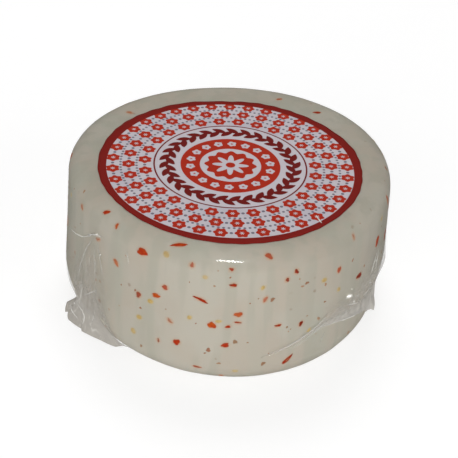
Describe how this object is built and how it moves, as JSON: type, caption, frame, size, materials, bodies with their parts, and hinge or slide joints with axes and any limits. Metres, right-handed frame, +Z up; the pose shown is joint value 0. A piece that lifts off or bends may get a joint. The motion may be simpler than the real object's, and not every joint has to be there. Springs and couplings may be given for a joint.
{
  "type": "vacuum-packed pecorino cheese wheel",
  "caption": "Whole wheel of fresh pecorino with chilli, vacuum-packed in clear film gathered into an ear on each side, with a round paper label on top.",
  "frame": {"origin": "centre of the flat base, on the surface that the wheel rests on", "axes": "+Z up along the wheel's axis; -Y towards the front, the side with the plain, uncovered wall; +X to the right, towards the longer film ear"},
  "size_m": [0.1857, 0.188, 0.087],
  "materials": {
    "pecorino_paste": "ivory white fresh paste seen through tight clear film, satin to glossy",
    "clear_film": "clear vacuum film, glossy, hazy where it is gathered",
    "chilli": "orange-red chilli flakes with darker edges",
    "chilli_seed": "pale yellow chilli seeds",
    "label_paper": "printed coated paper, semi-matt"
  },
  "bodies": {
    "root": {"vacuum_pack": "pecorino_paste", "paper_label": "label_paper"}
  },
  "joints": []
}
